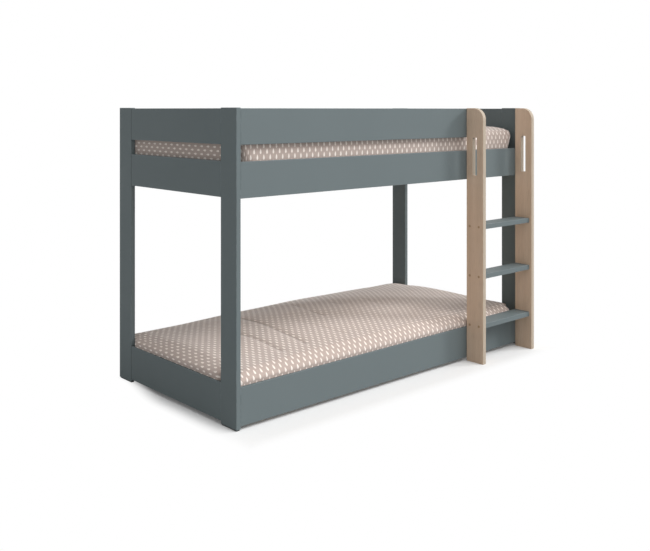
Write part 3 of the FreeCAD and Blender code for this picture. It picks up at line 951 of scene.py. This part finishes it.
upper_rings = [(UPPER_FOOT, upper_low.z), (UPPER_SIDE, upper_low.z + UPPER_FOOT_TALL),
               (0.0, rail_top - RAIL_EASE), (0.0, guard_foot)]
upper_rings += rolled_edge(0.0, guard_foot, UPPER_EDGE_WIDE, UPPER_EDGE_TALL)
upper_edge = (UPPER_EDGE_WIDE, guard_foot, UPPER_EDGE_TALL)
make_mattress("upper_mattress", "upper_mattress", upper_half, upper_rings, upper_edge,
              form=form_upper, press=press_upper, seed=11)

# %% [markdown]
# ## The lower mattress
# The lower mattress stands over its boards with a steep, full edge, and its top crowns high in the
# middle. At the back and at the ends it has been tucked in harder, so the edge comes down in a broader
# curve there. One bevel can't do that. The blank is drawn high with a square edge, and what stands out of
# an ellipse, which has its own width on each side and its own height at each place, is pulled straight in
# onto it.

# %% Lower mattress
LOWER_TOP = 0.052              # height of the top's rim over the boards
LOWER_CROWN = 0.056            # the middle over the top's rim
BACK_FALL = 0.0125             # how much lower the top lies at the back
RIGHT_FALL = 0.001
FRONT_ROUND = 0.055
BACK_ROUND = 0.085
LEFT_ROUND = 0.085
RIGHT_ROUND = 0.110
FULL_CORNER = 8.0              # power of a plan that is almost square
ROUND_CORNER = 3.0             # at the back
TUCKED_CORNER = 1.7            # at the ladder
LOWER_FOOT = 0.033             # how far the foot is drawn in from the boards
LOWER_SIDE = 0.014             # what is left of that a little higher
LOWER_FOOT_TALL = 0.025
UNDER_RIM = (0.012, 0.006)     # gap to the boards, and depth, where the cover starts to roll out
ON_RIM = (0.002, 0.001)        # inset and height where it has rolled out
BRIM_TALL = 0.010              # height of the upright foot on the rim
BLANK_ROUND = 0.7              # width of the blank's edge as a share of the front's
lower_low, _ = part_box("lower_mattress")
lower_half = (brim_x, brim_y)
board_thick = brim_y - side_y


def form_lower(places, half):
    """Pulls the edge in to the ellipse of its side."""
    x, y, z = places.T
    y = y - bed_centre
    wide_x = np.where(x > 0, RIGHT_ROUND, LEFT_ROUND)
    wide_y = np.where(y > 0, BACK_ROUND, FRONT_ROUND)
    out_x = np.clip(np.abs(x) - (half[0] - wide_x), 0, None)
    out_y = np.clip(np.abs(y) - (half[1] - wide_y), 0, None)
    power = np.where(y > 0, ROUND_CORNER, np.where(x > 0, TUCKED_CORNER, FULL_CORNER))
    plan = ((out_x / wide_x) ** power + (out_y / wide_y) ** power) ** (1 / power)
    tall = LOWER_TOP + LOWER_CROWN * (1 - (x / half[0]) ** 2) * (1 - (y / half[1]) ** 2)
    tall = tall - BACK_FALL * smooth_step(y, 0.0, half[1]) - RIGHT_FALL * smooth_step(x, 0.0, half[0])
    reach = np.hypot(plan, (z - rim_height) / tall)
    share = np.where((z > rim_height) & (reach > 1), 1 / np.maximum(reach, TINY), 1.0)
    places[:, 0] = x + np.sign(x) * out_x * (share - 1)
    places[:, 1] = bed_centre + y + np.sign(y) * out_y * (share - 1)
    places[:, 2] = np.where(z > rim_height, rim_height + (z - rim_height) * share, z)


lower_foot = rim_height + BRIM_TALL
lower_rings = [(board_thick + LOWER_FOOT, lower_low.z),
               (board_thick + LOWER_SIDE, lower_low.z + LOWER_FOOT_TALL),
               (board_thick + UNDER_RIM[0], rim_height - UNDER_RIM[1]),
               (ON_RIM[0], rim_height + ON_RIM[1]), (0.0, lower_foot)]
lower_rings += rolled_edge(0.0, lower_foot, FRONT_ROUND * BLANK_ROUND, LOWER_TOP + LOWER_CROWN)
lower_edge = (FRONT_ROUND, rim_height, LOWER_TOP)
make_mattress("lower_mattress", "lower_mattress", lower_half, lower_rings, lower_edge,
              form=form_lower, press=press_lower, seed=12)

# %% [markdown]
# ## Size
# The box of the solids was printed when the bed was loaded.
